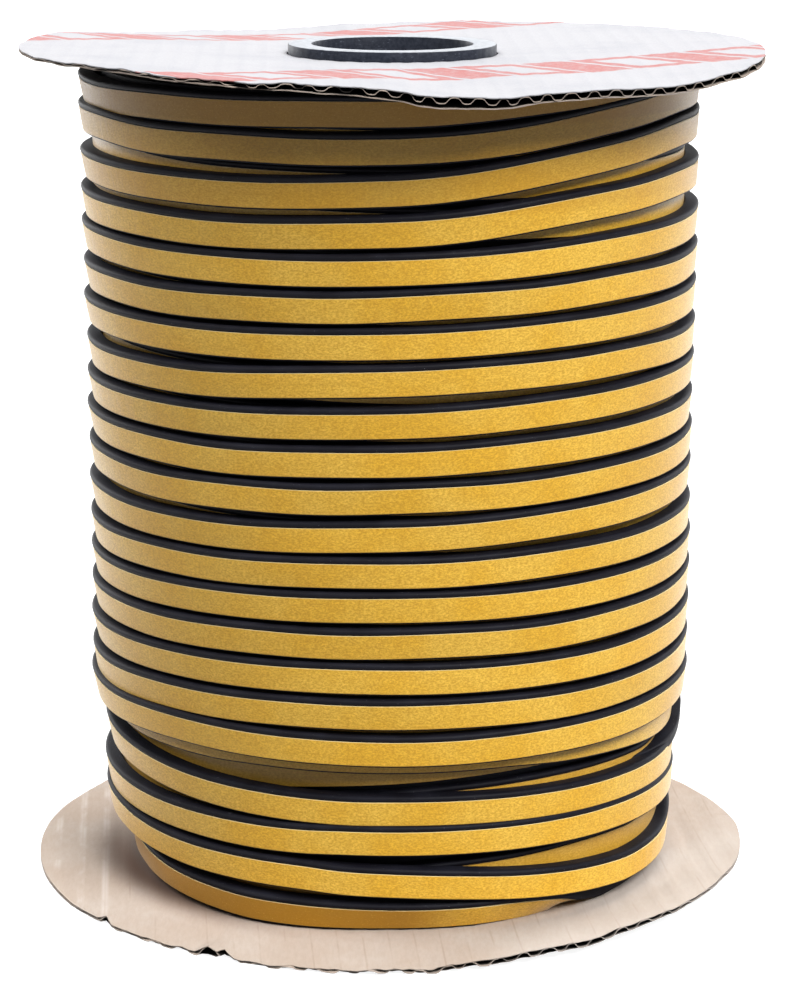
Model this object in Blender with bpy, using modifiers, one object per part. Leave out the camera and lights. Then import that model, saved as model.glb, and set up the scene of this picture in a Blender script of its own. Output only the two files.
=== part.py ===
"""Reel of self-adhesive seal strip, in metres, with +Z up the reel's axis.

The origin is on the floor, at the centre of the bottom flange's underside. The front of the reel faces -Y.
"""

import math

import bmesh
import bpy

# Reel
REEL_HEIGHT = 0.2545
TUBE_OUTER_DIAMETER = 0.0636
TUBE_BORE_DIAMETER = 0.0490
TUBE_STAND_PROUD = 0.0030
TUBE_EDGE_CHAMFER = 0.0006
TUBE_STEPS = 48

# Boards
BOTTOM_FLANGE_DIAMETER = 0.2250
TOP_FLANGE_DIAMETER = 0.2270
BOTTOM_BOARD_THICKNESS = 0.0034
TOP_BOARD_THICKNESS = 0.0030
BOTTOM_FLUTE_PITCH = 0.0076
TOP_FLUTE_PITCH = 0.0065
BOTTOM_FLUTE_ANGLE = math.radians(4.5)
TOP_FLUTE_ANGLE = math.radians(2.0)
FACING_THICKNESS = 0.00045
MEDIUM_THICKNESS = 0.00040
MEDIUM_CREST_WIDTH = 0.0012
FLANGE_STEPS = 96

# Strip and its paper
STRIP_WIDTH = 0.0094
STRIP_THICKNESS = 0.0046
STRIP_EDGE_ROUND = 0.0010
STRIP_LIP_HEIGHT = 0.0007
STRIP_LEAN = math.radians(4.0)
LINER_WIDTH = 0.0073
LINER_THICKNESS = 0.00030

# Winding
UPPER_WINDING_RADIUS = 0.0930
LOWER_WINDING_RADIUS = 0.0890
UPPER_PITCH = 0.0109
LOWER_PITCH = 0.0108
WINDING_STEPS = 24
FIRST_RUN_SEGMENTS = 3
CROSSING_SEGMENTS = 5
CROSSING_DROP = 0.0110
LOWER_TURNS = 3
LAST_RUN_SEGMENTS = 7
LEVEL_SHARE = 1 / 3
LAYER_STEP_OVER_TURN = 0.0012
FIRST_ANGLE = math.radians(60.0)

# Clearances
FLANGE_TO_TUBE = 0.0003
STRIP_TO_TUBE = 0.0003
STRIP_TO_FLANGE = 0.0003
LINER_TO_STRIP = 0.0003
TUBE_TO_FLOOR = 0.0003
LAYER_OVERLAP = 0.0008
CUT_PAST = 0.0050

TOP_FLANGE_UNDERSIDE = REEL_HEIGHT - TOP_BOARD_THICKNESS
WINDING_TOP = TOP_FLANGE_UNDERSIDE - STRIP_TO_FLANGE
WINDING_FOOT = BOTTOM_BOARD_THICKNESS + STRIP_TO_FLANGE
TUBE_RADIUS = TUBE_OUTER_DIAMETER / 2


def clear_scene():
    """Remove the objects that the scene starts with."""
    for found in list(bpy.data.objects):
        bpy.data.objects.remove(found, do_unlink=True)


def new_collection(name):
    """Make a collection in the scene."""
    made = bpy.data.collections.new(name)
    bpy.context.scene.collection.children.link(made)
    return made


def plain_material(name, colour, roughness, metallic=0.0):
    """Make a Principled material of one colour."""
    made = bpy.data.materials.new(name)
    made.use_nodes = True
    shader = made.node_tree.nodes["Principled BSDF"]
    shader.inputs["Base Color"].default_value = (*colour, 1.0)
    shader.inputs["Roughness"].default_value = roughness
    shader.inputs["Metallic"].default_value = metallic
    made.diffuse_color = (*colour, 1.0)
    return made


def add_object(name, mesh_or_curve, collection, material=None):
    """Put new data into the scene as an object."""
    made = bpy.data.objects.new(name, mesh_or_curve)
    collection.objects.link(made)
    if material is not None:
        made.data.materials.append(material)
    return made


def hide_helper(helper):
    """Keep a cutter or guide out of the renders and the build."""
    helper.hide_render = True
    helper.display_type = "WIRE"


def corner_radius(mean_radius, steps):
    """Radius at the corners of a polygon whose corners and flats lie equally far from the round."""
    return 2 * mean_radius / (1 + math.cos(math.pi / steps))


def clear_corner_radius(radius, clearance, steps):
    """Radius at the corners of a hole whose flats clear a round piece."""
    return (radius + clearance) / math.cos(math.pi / steps)


def ease(share):
    """Smooth step from 0 to 1, level at both ends."""
    share = min(max(share, 0.0), 1.0)
    return share * share * (3 - 2 * share)


def turned_object(name, outline, steps, collection, material):
    """Turn a closed outline of (radius, height) points about Z, listed down its outer side first."""
    mesh = bpy.data.meshes.new(name)
    count = len(outline)
    edges = [(index, (index + 1) % count) for index in range(count)]
    mesh.from_pydata([(radius, 0.0, height) for radius, height in outline], edges, [])
    made = add_object(name, mesh, collection, material)
    screw = made.modifiers.new("Turn", "SCREW")
    screw.axis = "Z"
    screw.angle = math.tau
    screw.steps = steps
    screw.render_steps = steps
    screw.use_merge_vertices = True
    screw.merge_threshold = 0.0001
    screw.use_smooth_shade = True
    return made


def add_boolean(target, other, operation):
    """Cut or join one object with another, exactly."""
    step = target.modifiers.new(other.name, "BOOLEAN")
    step.operation = operation
    step.solver = "EXACT"
    step.object = other


def mesh_from_curve(curve_object, collection):
    """Replace a curve object by a welded mesh object of the same shape and place."""
    bpy.context.view_layer.update()
    graph = bpy.context.evaluated_depsgraph_get()
    mesh = bpy.data.meshes.new_from_object(curve_object.evaluated_get(graph))
    name = curve_object.name
    place = curve_object.matrix_world.copy()
    materials = list(curve_object.data.materials)
    bpy.data.objects.remove(curve_object, do_unlink=True)
    work = bmesh.new()
    work.from_mesh(mesh)
    bmesh.ops.remove_doubles(work, verts=work.verts, dist=0.00001)
    bmesh.ops.recalc_face_normals(work, faces=work.faces)
    work.to_mesh(mesh)
    work.free()
    mesh.name = name
    made = bpy.data.objects.new(name, mesh)
    collection.objects.link(made)
    made.matrix_world = place
    if not mesh.materials:
        for material in materials:
            mesh.materials.append(material)
    return made


def poly_spline(curve, points, cyclic):
    """Add a spline of straight runs through the points."""
    spline = curve.splines.new("POLY")
    spline.points.add(len(points) - 1)
    for target, (x, y, z) in zip(spline.points, points):
        target.co = (x, y, z, 1.0)
    spline.use_cyclic_u = cyclic


def flute_outlines(diameter, thickness, pitch):
    """Cross-sections of the hollow flutes between a board's facings, as (across, up) corners.

    The fluted middle paper runs from crest to crest in straight slopes. A hollow opens upwards at each trough
    and downwards at each crest.
    """
    low = FACING_THICKNESS
    high = thickness - FACING_THICKNESS
    half_wall = MEDIUM_THICKNESS / 2
    narrow = MEDIUM_CREST_WIDTH / 2
    wide = pitch / 2 - narrow
    outlines = []
    count = math.ceil(diameter / pitch) + 1
    for index in range(-count, count + 1):
        centre = index * pitch / 2
        if abs(centre) + wide > diameter / 2:
            continue
        opens_up = index % 2 == 1
        base = low + MEDIUM_THICKNESS if opens_up else high - MEDIUM_THICKNESS
        mouth = high if opens_up else low
        outlines.append(
            [
                (centre - narrow + half_wall, base),
                (centre + narrow - half_wall, base),
                (centre + wide - half_wall, mouth),
                (centre - wide + half_wall, mouth),
            ]
        )
    return outlines


def fluted_disc(
    name, diameter, thickness, underside, flute_pitch, flute_angle, collection, cutters, material
):
    """Round board of two facings and a fluted middle, with a hole for the tube."""
    mesh = bpy.data.meshes.new(name)
    work = bmesh.new()
    bmesh.ops.create_cone(
        work,
        cap_ends=True,
        segments=FLANGE_STEPS,
        radius1=diameter / 2,
        radius2=diameter / 2,
        depth=thickness,
    )
    work.to_mesh(mesh)
    work.free()
    board = add_object(name, mesh, collection, material)
    board.location.z = underside + thickness / 2

    hole_mesh = bpy.data.meshes.new(name + "_hole")
    work = bmesh.new()
    hole_radius = clear_corner_radius(TUBE_RADIUS, FLANGE_TO_TUBE, TUBE_STEPS)
    bmesh.ops.create_cone(
        work,
        cap_ends=True,
        segments=TUBE_STEPS,
        radius1=hole_radius,
        radius2=hole_radius,
        depth=thickness + 2 * CUT_PAST,
    )
    work.to_mesh(hole_mesh)
    work.free()
    hole = add_object(name + "_hole", hole_mesh, cutters)
    hole.location.z = underside + thickness / 2
    hide_helper(hole)

    curve = bpy.data.curves.new(name + "_flutes", "CURVE")
    curve.dimensions = "2D"
    curve.fill_mode = "BOTH"
    curve.extrude = diameter / 2 + CUT_PAST
    for outline in flute_outlines(diameter, thickness, flute_pitch):
        poly_spline(curve, [(across, up, 0.0) for across, up in outline], cyclic=True)
    flutes = add_object(name + "_flutes", curve, cutters)
    flutes.location.z = underside
    flutes.rotation_euler = (math.pi / 2, 0.0, flute_angle)
    flutes = mesh_from_curve(flutes, cutters)
    hide_helper(flutes)

    add_boolean(board, hole, "DIFFERENCE")
    add_boolean(board, flutes, "DIFFERENCE")
    return board


def core_tube(collection, material):
    """Plain tube with small chamfers, standing a little proud of the top flange."""
    outer = TUBE_RADIUS
    bore = TUBE_BORE_DIAMETER / 2
    top = REEL_HEIGHT + TUBE_STAND_PROUD
    foot = TUBE_TO_FLOOR
    chamfer = TUBE_EDGE_CHAMFER
    outline = [
        (outer - chamfer, top),
        (outer, top - chamfer),
        (outer, foot + chamfer),
        (outer - chamfer, foot),
        (bore + chamfer, foot),
        (bore, foot + chamfer),
        (bore, top - chamfer),
        (bore + chamfer, top),
    ]
    return turned_object("core_tube", outline, TUBE_STEPS, collection, material)


def winding_heights():
    """Heights of the strip's middle line at its top end and at the lower layer's first and last turns."""
    heights = [up for _, up in strip_section()]
    first = WINDING_TOP - max(heights)
    last = WINDING_FOOT - min(heights)
    return first, last + LOWER_TURNS * LOWER_PITCH, last


def upper_segments():
    """Segments in the upper turns, as many as leave the crossing its drop."""
    first, lower, _ = winding_heights()
    return round((first - lower - CROSSING_DROP) / UPPER_PITCH * WINDING_STEPS)


def winding_place(segment):
    """Angle from the front, mean radius and height of the strip's middle line after this many segments.

    The strip runs down clockwise from its top end. After a short level run the upper turns fall evenly. Then
    the strip crosses down to the layer below. There each turn stays level for a share of the way and falls in
    the rest.
    """
    angle = FIRST_ANGLE - math.tau * segment / WINDING_STEPS
    first_height, lower_height, _ = winding_heights()
    upper = upper_segments()
    crossing_height = first_height - UPPER_PITCH * upper / WINDING_STEPS
    fallen = max(segment - FIRST_RUN_SEGMENTS, 0)
    if fallen <= upper:
        return angle, UPPER_WINDING_RADIUS, first_height - UPPER_PITCH * fallen / WINDING_STEPS
    crossed = (fallen - upper) / CROSSING_SEGMENTS
    if crossed < 1:
        radius = UPPER_WINDING_RADIUS + (LOWER_WINDING_RADIUS - UPPER_WINDING_RADIUS) * ease(crossed)
        return angle, radius, crossing_height + (lower_height - crossing_height) * crossed
    turns = (fallen - upper - CROSSING_SEGMENTS) / WINDING_STEPS
    whole = math.floor(turns)
    share = ease((turns - whole - LEVEL_SHARE) / (1 - LEVEL_SHARE))
    return angle, LOWER_WINDING_RADIUS, lower_height - LOWER_PITCH * min(whole + share, LOWER_TURNS)


def winding_path():
    """Corner points of the strip's outer face line, from its top end to its last visible end."""
    last_lower = LOWER_TURNS * WINDING_STEPS + LAST_RUN_SEGMENTS
    points = []
    for segment in range(FIRST_RUN_SEGMENTS + upper_segments() + CROSSING_SEGMENTS + last_lower + 1):
        angle, mean_radius, height = winding_place(segment)
        radius = corner_radius(mean_radius, WINDING_STEPS)
        points.append((radius * math.sin(angle), -radius * math.cos(angle), height))
    return points


def leaned(outline):
    """Turn a section so that its upper edge stands out further than its lower edge.

    A section is listed as (outwards, up) corners from the middle of the strip's outer face.
    """
    cosine = math.cos(STRIP_LEAN)
    sine = math.sin(STRIP_LEAN)
    return [(out * cosine + up * sine, up * cosine - out * sine) for out, up in outline]


def strip_section():
    """The rubber's section: a flat outer face for the paper, a lip above it, and rounded edges."""
    half = STRIP_WIDTH / 2
    face_foot = STRIP_EDGE_ROUND - half
    face_top = face_foot + LINER_WIDTH + LINER_TO_STRIP
    return leaned(
        [
            (0.0, face_foot),
            (0.0, face_top),
            (STRIP_LIP_HEIGHT, (face_top + half) / 2),
            (-STRIP_EDGE_ROUND / 2, half),
            (-STRIP_THICKNESS, half),
            (-STRIP_THICKNESS, -half),
            (-STRIP_EDGE_ROUND, -half),
        ]
    )


def liner_section():
    """The paper's section, lying off the rubber's outer face by the adhesive's gap."""
    low = STRIP_EDGE_ROUND - STRIP_WIDTH / 2
    inner = LINER_TO_STRIP
    outer = LINER_TO_STRIP + LINER_THICKNESS
    return leaned(
        [
            (inner, low),
            (outer, low),
            (outer, low + LINER_WIDTH),
            (inner, low + LINER_WIDTH),
        ]
    )


def wound_object(name, section, collection, guides, material=None):
    """Carry a section along the winding's path and close its two ends.

    The path runs clockwise seen from above, so a section's own X points at the axis.
    """
    outline = bpy.data.curves.new(name + "_section", "CURVE")
    outline.dimensions = "2D"
    poly_spline(outline, [(-out, up, 0.0) for out, up in section], cyclic=True)
    guide = add_object(name + "_section", outline, guides)
    hide_helper(guide)

    path = bpy.data.curves.new(name, "CURVE")
    path.dimensions = "3D"
    path.twist_mode = "Z_UP"
    path.bevel_mode = "OBJECT"
    path.bevel_object = guide
    path.use_fill_caps = True
    poly_spline(path, winding_path(), cyclic=False)
    made = mesh_from_curve(add_object(name, path, collection, material), collection)
    bpy.data.objects.remove(guide, do_unlink=True)
    return made


def seal_strip(collection, cutters, material):
    """Hidden layers as a plain turned core with its bore, fused with the outer layer's real turns."""
    fused = STRIP_THICKNESS - LAYER_OVERLAP
    upper = corner_radius(UPPER_WINDING_RADIUS, WINDING_STEPS) - fused
    lower = corner_radius(LOWER_WINDING_RADIUS, WINDING_STEPS) - fused
    layer_step = winding_heights()[1] + STRIP_WIDTH / 2 + LAYER_STEP_OVER_TURN
    bore = clear_corner_radius(TUBE_RADIUS, STRIP_TO_TUBE, WINDING_STEPS)
    outline = [
        (upper, WINDING_TOP),
        (upper, layer_step),
        (lower, layer_step),
        (lower, WINDING_FOOT),
        (bore, WINDING_FOOT),
        (bore, WINDING_TOP),
    ]
    core = turned_object("seal_strip", outline, WINDING_STEPS, collection, material)
    turns = wound_object("outer_turns", strip_section(), cutters, cutters)
    hide_helper(turns)
    add_boolean(core, turns, "UNION")
    return core


def main():
    clear_scene()
    parts = new_collection("seal_strip_reel")
    helpers = new_collection("cutters_and_guides")
    plastic = plain_material("tube_plastic", (0.035, 0.040, 0.055), 0.45)
    kraft = plain_material("kraft_board", (0.62, 0.50, 0.38), 0.90)
    white = plain_material("white_board", (0.85, 0.85, 0.86), 0.75)
    rubber = plain_material("foam_rubber", (0.012, 0.013, 0.016), 0.60)
    paper = plain_material("liner_paper", (0.68, 0.42, 0.09), 0.50)

    core_tube(parts, plastic)
    fluted_disc(
        "bottom_flange",
        BOTTOM_FLANGE_DIAMETER,
        BOTTOM_BOARD_THICKNESS,
        0.0,
        BOTTOM_FLUTE_PITCH,
        BOTTOM_FLUTE_ANGLE,
        parts,
        helpers,
        kraft,
    )
    fluted_disc(
        "top_flange",
        TOP_FLANGE_DIAMETER,
        TOP_BOARD_THICKNESS,
        TOP_FLANGE_UNDERSIDE,
        TOP_FLUTE_PITCH,
        TOP_FLUTE_ANGLE,
        parts,
        helpers,
        white,
    )
    seal_strip(parts, helpers, rubber)
    wound_object("release_liner", liner_section(), parts, helpers, paper)


main()
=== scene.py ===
"""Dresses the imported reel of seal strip: boards with real flutes, wound strip with its paper, scuffed tube.

Everything is in metres, with +Z up the reel's axis and the front facing -Y. An angle round the axis is
measured from the front towards +X, so a place is (r sin a, -r cos a, z). Tables round a board hold
(degrees, millimetres), and tables along the strip start with the turn.
"""

import logging
import math
from dataclasses import dataclass
from enum import Enum

import bpy
import numpy as np
from mathutils import Euler, Matrix, Vector


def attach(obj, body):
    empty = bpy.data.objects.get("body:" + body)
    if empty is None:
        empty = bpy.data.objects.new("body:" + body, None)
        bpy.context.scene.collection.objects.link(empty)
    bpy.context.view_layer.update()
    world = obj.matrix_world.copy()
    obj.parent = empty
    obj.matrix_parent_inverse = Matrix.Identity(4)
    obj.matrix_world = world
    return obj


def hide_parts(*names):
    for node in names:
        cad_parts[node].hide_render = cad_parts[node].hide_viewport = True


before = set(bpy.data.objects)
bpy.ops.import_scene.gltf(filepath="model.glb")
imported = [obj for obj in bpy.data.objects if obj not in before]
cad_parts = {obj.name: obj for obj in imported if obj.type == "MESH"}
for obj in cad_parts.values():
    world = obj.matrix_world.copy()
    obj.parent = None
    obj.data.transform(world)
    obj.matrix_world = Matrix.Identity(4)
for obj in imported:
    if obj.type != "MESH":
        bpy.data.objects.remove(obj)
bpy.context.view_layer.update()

BODY = "root"
MM = 0.001

logging.basicConfig(level=logging.INFO, format="%(message)s")
log = logging.getLogger("seal_strip_reel")


class Slot(Enum):
    """Material slots of the record, handed to a board's build, which does not use them."""

    TUBE = "tube_plastic"
    KRAFT = "kraft_board"
    WHITE = "white_board"
    RUBBER = "foam_rubber"
    LINER = "liner_paper"


class Half(Enum):
    """The two halves that a board is laid out in, with the side that each takes."""

    FRONT = -1.0
    BACK = 1.0


# Shapes


def smooth_through(keys: np.ndarray, values: np.ndarray, places: np.ndarray) -> np.ndarray:
    """Run a smooth curve through the keys.

    Between two keys the curve is a cubic. Its slope at a key is the harmonic mean of the slopes of the runs
    on each side, or level where those runs turn, so it never overshoots.

    Args:
        keys: Rising places of the known values.
        values: The known values.
        places: Where the curve is wanted.

    Returns:
        The curve's value at each place.
    """
    run = np.diff(keys)
    rise = np.diff(values) / run
    slope = np.zeros(len(values))
    same_way = rise[:-1] * rise[1:] > 0
    total = np.where(same_way, rise[:-1] + rise[1:], 1.0)
    slope[1:-1] = np.where(same_way, 2 * rise[:-1] * rise[1:] / total, 0.0)
    slope[0], slope[-1] = rise[0], rise[-1]
    spot = np.clip(np.searchsorted(keys, places, side="right") - 1, 0, len(keys) - 2)
    share = np.clip((places - keys[spot]) / run[spot], 0.0, 1.0)
    square, cube = share**2, share**3
    return (
        (2 * cube - 3 * square + 1) * values[spot]
        + (cube - 2 * square + share) * run[spot] * slope[spot]
        + (3 * square - 2 * cube) * values[spot + 1]
        + (cube - square) * run[spot] * slope[spot + 1]
    )


def around(pairs: tuple, angles: np.ndarray) -> np.ndarray:
    """Read a closed table of (degrees, value) at any angle.

    Args:
        pairs: Rising angles in degrees from -180 up to below 180, each with its value.
        angles: Angles in radians.

    Returns:
        The smooth value at each angle, the same on both sides of the join at the back.
    """
    table = np.array(pairs, dtype=float)
    keys = np.concatenate([table[-2:, 0] - 360, table[:, 0], table[:2, 0] + 360])
    values = np.concatenate([table[-2:, 1], table[:, 1], table[:2, 1]])
    turned = (np.degrees(angles) + 180) % 360 - 180
    return smooth_through(keys, values, turned)


def ripple(places: np.ndarray, seed: int, waves: tuple[int, int], count: int = 9) -> np.ndarray:
    """Add up a few sine waves of whole numbers, so that the ripple closes after one turn.

    Args:
        places: Angles in radians.
        seed: Picks the waves.
        waves: Fewest and most waves in a turn.
        count: How many waves are added.

    Returns:
        A ripple of about unit size.
    """
    draw = np.random.default_rng(seed)
    number = draw.integers(waves[0], waves[1] + 1, count)
    phase = draw.uniform(0, math.tau, count)
    flat = np.asarray(places)[..., None]
    return np.sin(flat * number + phase).sum(axis=-1) / math.sqrt(count / 2)


def ease(share: np.ndarray) -> np.ndarray:
    """Smooth step from 0 to 1: 3t^2 - 2t^3, level at both ends."""
    share = np.clip(share, 0.0, 1.0)
    return share * share * (3 - 2 * share)


def grid_faces(rows: int, columns: int, wrap: bool) -> np.ndarray:
    """Number the corners of a grid's quads.

    Args:
        rows: Rows of points.
        columns: Points in a row.
        wrap: Whether the last column joins the first.

    Returns:
        One row of four corner numbers for each quad.
    """
    row = np.arange(rows - 1)[:, None] * columns
    column = np.arange(columns if wrap else columns - 1)[None, :]
    beside = (column + 1) % columns
    corners = [row + column, row + beside, row + columns + beside, row + columns + column]
    return np.stack(corners, axis=-1).reshape(-1, 4)


def new_piece(
    name: str,
    points: np.ndarray,
    faces: list[np.ndarray],
    uv: np.ndarray | None = None,
    inside: np.ndarray | None = None,
    crisp: float = 40.0,
) -> bpy.types.Object:
    """Put points and faces into the scene as a mesh piece at the origin.

    Args:
        name: The piece's plain name.
        points: Corner places, (n, 3).
        faces: Blocks of corner numbers, one width of face a block.
        uv: One (u, v) for each corner of each face, in the blocks' order.
        inside: One number for each point, 1 where it lies inside the board.
        crisp: Angle in degrees past which an edge stays sharp.

    Returns:
        The new object.
    """
    mesh = bpy.data.meshes.new(name)
    corners = np.concatenate([block.ravel() for block in faces]).astype(np.int32)
    totals = np.concatenate([np.full(len(block), block.shape[1]) for block in faces])
    starts = np.concatenate([[0], np.cumsum(totals)[:-1]]).astype(np.int32)
    mesh.vertices.add(len(points))
    mesh.vertices.foreach_set("co", np.ascontiguousarray(points, dtype=np.float32).ravel())
    mesh.loops.add(len(corners))
    mesh.loops.foreach_set("vertex_index", corners)
    mesh.polygons.add(len(starts))
    mesh.polygons.foreach_set("loop_start", starts)
    mesh.polygons.foreach_set("use_smooth", np.ones(len(starts), dtype=bool))
    mesh.update(calc_edges=True)
    if uv is not None:
        layer = mesh.uv_layers.new(name="strip_uv")
        layer.data.foreach_set("uv", np.ascontiguousarray(uv, dtype=np.float32).ravel())
    if inside is not None:
        mesh.attributes.new("inside", "FLOAT", "POINT").data.foreach_set("value", inside.astype(np.float32))
    mesh.set_sharp_from_angle(angle=math.radians(crisp))
    piece = bpy.data.objects.new(name, mesh)
    bpy.context.scene.collection.objects.link(piece)
    return piece


def closed_sheet(
    name: str, tops: list[np.ndarray], bottoms: list[np.ndarray], hidden: tuple[float, float]
) -> bpy.types.Object:
    """Make thin closed sheets, each from an upper and a lower grid of the same layout.

    The two grids are joined by walls along all four sides.

    Args:
        name: The piece's plain name.
        tops: Upper grids, (rows, columns, 3), with rows running towards +Y and columns towards +X.
        bottoms: Lower grids of the same shapes.
        hidden: 1 for the upper side, and for the lower side, where it faces into the board, or else 0.

    Returns:
        The new object, holding every sheet.
    """
    points, faces, inside, base = [], [], [], 0
    for top, bottom in zip(tops, bottoms):
        rows, columns = top.shape[:2]
        count = rows * columns
        quads = grid_faces(rows, columns, wrap=False)
        across, down = np.arange(columns), np.arange(rows) * columns
        rim = np.concatenate(
            [across, down[1:] + columns - 1, (rows - 1) * columns + across[-2::-1], down[-2:0:-1]]
        )
        after = np.roll(rim, -1)
        walls = np.stack([rim, rim + count, after + count, after], axis=-1)
        faces += [quads + base, quads[:, ::-1] + count + base, walls + base]
        points += [top.reshape(-1, 3), bottom.reshape(-1, 3)]
        inside += [np.full(count, hidden[0]), np.full(count, hidden[1])]
        base += 2 * count
    return new_piece(name, np.concatenate(points), faces, inside=np.concatenate(inside))


# Finishes


Socket = bpy.types.NodeSocket


@dataclass(frozen=True)
class Grain:
    """A noise pattern in a finish.

    scale is in patches a metre. low and high are the noise values that become 0 and 1, and the colour laid
    over covers the least share at 0 and the most at 1.
    """

    scale: float
    low: float = 0.0
    high: float = 1.0
    detail: float = 3.0
    rough: float = 0.55
    most: float = 1.0
    least: float = 0.0
    stretch: tuple = (1.0, 1.0, 1.0)
    turn: float = 0.0


class Bench:
    """A new Principled material, with short ways to add and join its nodes."""

    def __init__(self, name: str) -> None:
        """Start a material with its shader.

        Args:
            name: The material's name.
        """
        self.material = bpy.data.materials.new(name)
        self.material.use_nodes = True
        self.tree = self.material.node_tree
        self.shader = self.tree.nodes["Principled BSDF"]

    def plug(self, source: object, target: Socket) -> None:
        """Join a socket to an input, or set the input to a plain value."""
        if isinstance(source, Socket):
            self.tree.links.new(source, target)
        else:
            target.default_value = source

    def put(self, name: str, source: object) -> None:
        """Join a socket to one of the shader's own inputs, or set that input to a plain value."""
        self.plug(source, self.shader.inputs[name])

    def node(self, kind: str, inputs: dict, output: object, **settings: object) -> Socket:
        """Add a node and feed it.

        Args:
            kind: Blender's name of the node.
            inputs: What goes into its inputs, by name or number: sockets or plain values.
            output: Name or number of the output that is wanted.
            settings: Its settings.

        Returns:
            The output.
        """
        made = self.tree.nodes.new(kind)
        for key, value in settings.items():
            setattr(made, key, value)
        for key, value in inputs.items():
            self.plug(value, made.inputs[key])
        return made.outputs[output]

    def places(self) -> Socket:
        """Object coordinates, in metres."""
        return self.node("ShaderNodeTexCoord", {}, "Object")

    def along(self) -> Socket:
        """The strip's own map: metres along it, and metres round its section."""
        return self.node("ShaderNodeUVMap", {}, "UV", uv_map="strip_uv")

    def stretched(self, vector: Socket, scale: tuple = (1.0, 1.0, 1.0), turn: float = 0.0) -> Socket:
        """Scale a pattern's coordinates, and turn them about Z."""
        inputs = {"Vector": vector, "Scale": scale, "Rotation": (0.0, 0.0, turn)}
        return self.node("ShaderNodeMapping", inputs, "Vector")

    def axis(self, vector: Socket, letter: str) -> Socket:
        """One part, X, Y or Z, of a vector."""
        return self.node("ShaderNodeSeparateXYZ", {0: vector}, letter)

    def radius(self) -> Socket:
        """Distance from the reel's axis, in metres."""
        flat = self.stretched(self.places(), (1.0, 1.0, 0.0))
        return self.node("ShaderNodeVectorMath", {0: flat}, "Value", operation="LENGTH")

    def towards(self, degrees: float) -> Socket:
        """Distance from the reel's middle in one direction, given from the front towards +X."""
        return self.axis(self.stretched(self.places(), turn=math.pi / 2 - math.radians(degrees)), "X")

    def beyond(self, degrees: float, near: float, far: float) -> Socket:
        """0 up to a near distance from the middle in one direction, and 1 from a far one on."""
        return self.ramp(self.towards(degrees), near, far)

    def noise(self, vector: Socket, grain: Grain) -> Socket:
        """Plain noise of the grain's size, about 0 to 1."""
        inputs = {
            "Vector": self.stretched(vector, grain.stretch, grain.turn),
            "Scale": grain.scale,
            "Detail": grain.detail,
            "Roughness": grain.rough,
        }
        return self.node("ShaderNodeTexNoise", inputs, "Fac")

    def ramp(self, value: object, low: float, high: float) -> Socket:
        """Spread low..high to 0..1, smoothly, and hold the ends."""
        inputs = {"Value": value, "From Min": low, "From Max": high}
        return self.node("ShaderNodeMapRange", inputs, "Result", interpolation_type="SMOOTHSTEP")

    def spread(self, noise: Socket, grain: Grain) -> Socket:
        """Spread a noise so that the grain's low and high become 0 and 1."""
        return self.ramp(noise, grain.low, grain.high)

    def spots(self, vector: Socket, grain: Grain) -> Socket:
        """Noise of the grain's size, spread to 0 and 1."""
        return self.spread(self.noise(vector, grain), grain)

    def level(self, share: object, low: float, high: float) -> Socket:
        """A number that runs from low to high with the share."""
        return self.node("ShaderNodeMapRange", {"Value": share, "To Min": low, "To Max": high}, "Result")

    def sums(self, operation: str, first: object, second: object = 0.0) -> Socket:
        """One step of arithmetic."""
        return self.node("ShaderNodeMath", {0: first, 1: second}, 0, operation=operation)

    def times(self, first: object, second: object) -> Socket:
        """Multiply two numbers."""
        return self.sums("MULTIPLY", first, second)

    def away(self, value: object, middle: float) -> Socket:
        """Distance of a value from a middle."""
        return self.sums("ABSOLUTE", self.sums("SUBTRACT", value, middle))

    def blend(self, share: object, under: object, over: object) -> Socket:
        """Blend two colours, each a socket or three plain numbers."""
        colours = [colour if isinstance(colour, Socket) else (*colour, 1.0) for colour in (under, over)]
        return self.node("ShaderNodeMix", {0: share, 6: colours[0], 7: colours[1]}, 2, data_type="RGBA")

    def tint(self, under: object, over: tuple, where: Socket, most: float, least: float = 0.0) -> Socket:
        """Lay a colour over another, by the least share where the mark is 0 and the most where it is 1."""
        return self.blend(self.level(where, least, most), under, over)

    def mottle(self, under: object, over: tuple, vector: Socket, grain: Grain) -> Socket:
        """Lay a colour over another in spots of the grain."""
        return self.tint(under, over, self.spots(vector, grain), grain.most, grain.least)

    def ridges(self, pitch: float, flute_angle: float) -> Socket:
        """A board's flutes as a wave: the cosine of the place across them, 1 on a ridge."""
        across = self.axis(self.stretched(self.places(), turn=-flute_angle), "X")
        return self.sums("COSINE", self.times(across, math.tau / pitch))

    def shade_inside(self, colour: Socket, rim: float) -> Socket:
        """Paint shade on the inner sides of a board's papers, from 0.5 mm to 2.2 mm behind the rim."""
        hidden = self.node("ShaderNodeAttribute", {}, "Fac", attribute_name="inside")
        depth = self.ramp(self.radius(), rim - 0.5 * MM, rim - 2.2 * MM)
        return self.blend(self.times(hidden, depth), colour, (0.004, 0.003, 0.002))

    def relief(self, height: Socket, depth: float, strength: float) -> None:
        """Use a height as the surface's fine relief, depth metres from 0 to 1."""
        inputs = {"Height": height, "Distance": depth, "Strength": strength}
        self.put("Normal", self.node("ShaderNodeBump", inputs, "Normal"))


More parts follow.
